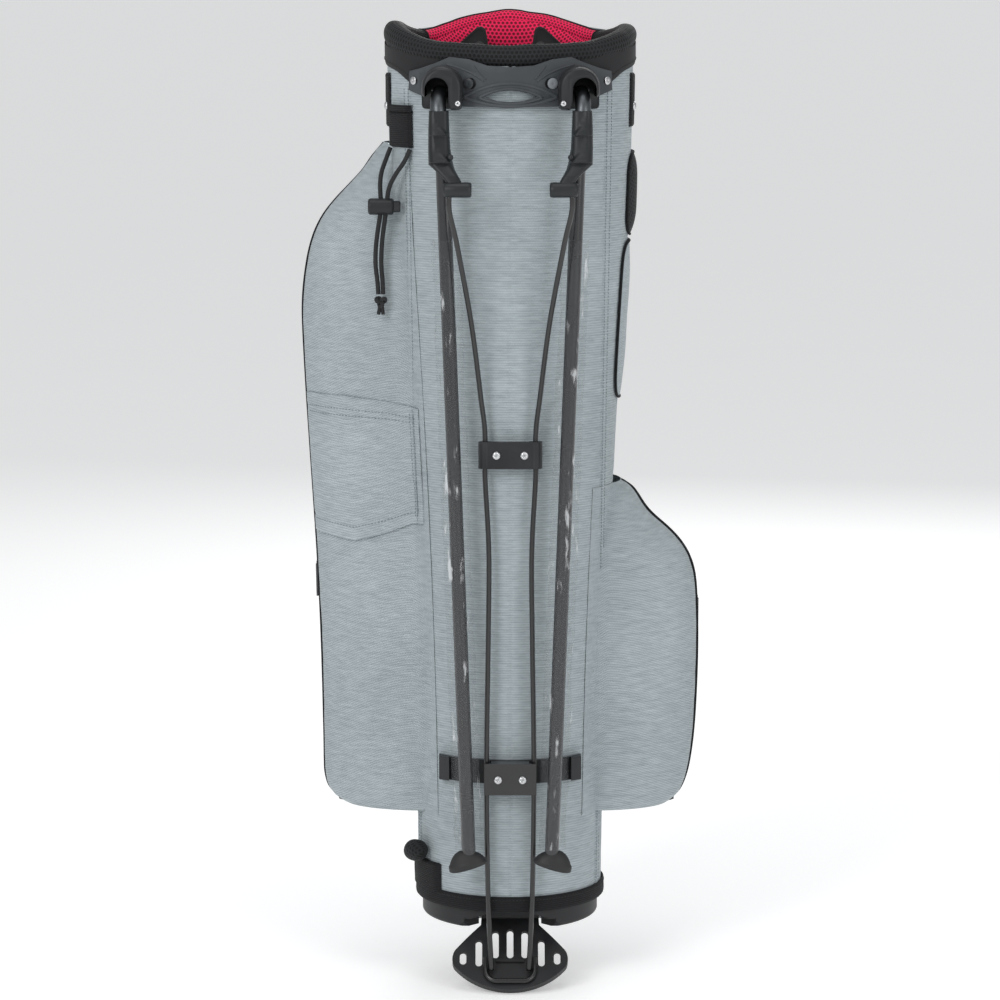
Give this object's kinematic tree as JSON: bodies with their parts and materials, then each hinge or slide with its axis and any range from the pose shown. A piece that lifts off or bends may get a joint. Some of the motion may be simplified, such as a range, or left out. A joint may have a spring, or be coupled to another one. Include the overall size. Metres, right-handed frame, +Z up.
{
  "type": "golf stand bag",
  "caption": "Golf stand bag with a padded divided mouth, side pockets, folding legs on a bracket and push rods worked by a foot pedal.",
  "frame": {"origin": "centre of the flat underside of the base", "axes": "+Z up along the bag tube, -Y towards the folded legs, +X to the right when facing the legs"},
  "size_m": [0.3961, 0.3256, 0.9612],
  "materials": {
    "tube_fabric": "matte",
    "pocket_fabric": "matte",
    "black_mesh": "matte",
    "red_mesh": "matte",
    "black_webbing": "matte",
    "divider_fabric": "matte",
    "strap_fabric": "matte",
    "elastic_cord": "matte",
    "base_plastic": "matte",
    "bracket_plastic": "satin",
    "black_plastic": "satin",
    "frame_plastic": "matte",
    "stud_plastic": "gloss",
    "rod_steel": "satin",
    "leg_paint": "satin",
    "clear_film": "gloss",
    "foot_rubber": "matte",
    "silver_screw": "polished",
    "pin_steel": "satin",
    "stay_metal": "satin",
    "zip_tape": "matte",
    "zip_metal": "satin"
  },
  "bodies": {
    "bag": {"bag_skin": "tube_fabric", "ball_pocket": "pocket_fabric", "base_binding": "black_webbing", "base_shell": "base_plastic", "bracket_rivets": "black_plastic", "bracket_studs": "stud_plastic", "collar_frame": "frame_plastic", "collar_lining": "red_mesh", "collar_pad": "black_mesh", "collar_skirt": "black_mesh", "cord_knot": "elastic_cord", "cord_lock": "black_plastic", "cord_strand_inner": "elastic_cord", "cord_strand_outer": "elastic_cord", "divider_bars": "divider_fabric", "divider_panels": "divider_fabric", "divider_tabs": "divider_fabric", "grab_handle": "black_mesh", "grab_webbing": "black_webbing", "guide_plate": "rod_steel", "guide_screws": "silver_screw", "hip_pad": "black_mesh", "hood_left": "bracket_plastic", "hood_right": "bracket_plastic", "hood_screws": "silver_screw", "left_pocket": "pocket_fabric", "left_pocket_band": "pocket_fabric", "leg_rest": "black_plastic", "pedal_pin": "pin_steel", "pivot_pins": "pin_steel", "right_pocket": "pocket_fabric", "shoulder_straps": "strap_fabric", "side_rivets": "silver_screw", "stand_bracket": "bracket_plastic", "stays": "stay_metal", "strap_tabs": "black_webbing", "upper_pocket": "pocket_fabric", "webbing_tab": "black_webbing", "zip_tapes": "zip_tape"},
    "left_leg": {"leg_lever_left": "black_plastic", "leg_tube_left": "leg_paint", "leg_foot_left": "foot_rubber", "leg_sleeve_left": "clear_film"},
    "right_leg": {"leg_lever_right": "black_plastic", "leg_tube_right": "leg_paint", "leg_foot_right": "foot_rubber", "leg_sleeve_right": "clear_film"},
    "push_rods": {"push_rods": "rod_steel", "rod_clamp": "black_plastic", "clamp_screws": "silver_screw"},
    "left_rod_top": {"rod_top_left": "rod_steel"},
    "right_rod_top": {"rod_top_right": "rod_steel"},
    "pedal": {"pedal": "black_plastic", "pedal_keeper": "rod_steel"},
    "cord_lock_button": {"cord_lock_button": "black_plastic"},
    "left_zip_slider": {"left_zip_slider": "zip_metal"},
    "right_zip_slider": {"right_zip_slider": "zip_metal"},
    "ball_zip_slider": {"ball_zip_slider": "zip_metal"}
  },
  "joints": [
    {"name": "left_leg_swing", "type": "hinge", "parent": "bag", "child": "left_leg", "pos_m": [-0.065, -0.108, 0.826], "axis": [-0.9063, 0.4226, 0], "range_deg": [0, 36], "stiffness_Nm_per_rad": 0.2, "springref_deg": -8.59},
    {"name": "right_leg_swing", "type": "hinge", "parent": "bag", "child": "right_leg", "pos_m": [0.065, -0.108, 0.826], "axis": [-0.9063, -0.4226, 0], "range_deg": [0, 36]},
    {"name": "push_rod_slide", "type": "slide", "parent": "bag", "child": "push_rods", "axis": [0, 0, 1], "range_m": [0, 0.0585]},
    {"name": "left_rod_lean", "type": "hinge", "parent": "push_rods", "child": "left_rod_top", "pos_m": [-0.0245, -0.106, 0.4897], "axis": [0.9013, -0.432, 0.0319], "range_deg": [0, 11.37]},
    {"name": "right_rod_lean", "type": "hinge", "parent": "push_rods", "child": "right_rod_top", "pos_m": [0.0245, -0.106, 0.4897], "axis": [0.9013, 0.432, -0.0319], "range_deg": [0, 11.37]},
    {"name": "pedal_swing", "type": "hinge", "parent": "bag", "child": "pedal", "pos_m": [0, -0.048, 0.005], "axis": [-1, 0, 0], "range_deg": [0, 50]},
    {"name": "cord_lock_press", "type": "slide", "parent": "bag", "child": "cord_lock_button", "axis": [-1, 0, 0], "range_m": [0, 0.003], "stiffness_N_per_m": 300, "springref_m": -0.002},
    {"name": "left_zip_pull", "type": "slide", "parent": "bag", "child": "left_zip_slider", "axis": [0.027, 0.0002, -0.9996], "range_m": [0, 0.1801]},
    {"name": "right_zip_pull", "type": "slide", "parent": "bag", "child": "right_zip_slider", "axis": [-0.0014, 0.0003, -1], "range_m": [0, 0.07]},
    {"name": "ball_zip_pull", "type": "slide", "parent": "bag", "child": "ball_zip_slider", "axis": [0, 0.0196, -0.9998], "range_m": [0, 0.08]}
  ],
  "couplings": [
    {"joint": "right_leg_swing", "follows": "left_leg_swing", "ratio": 1},
    {"joint": "push_rod_slide", "follows": "left_leg_swing", "m_per_rad": 0.093105},
    {"joint": "left_rod_lean", "follows": "left_leg_swing", "ratio": 0.31583},
    {"joint": "right_rod_lean", "follows": "left_leg_swing", "ratio": 0.31583},
    {"joint": "pedal_swing", "follows": "left_leg_swing", "ratio": 1.3889}
  ]
}
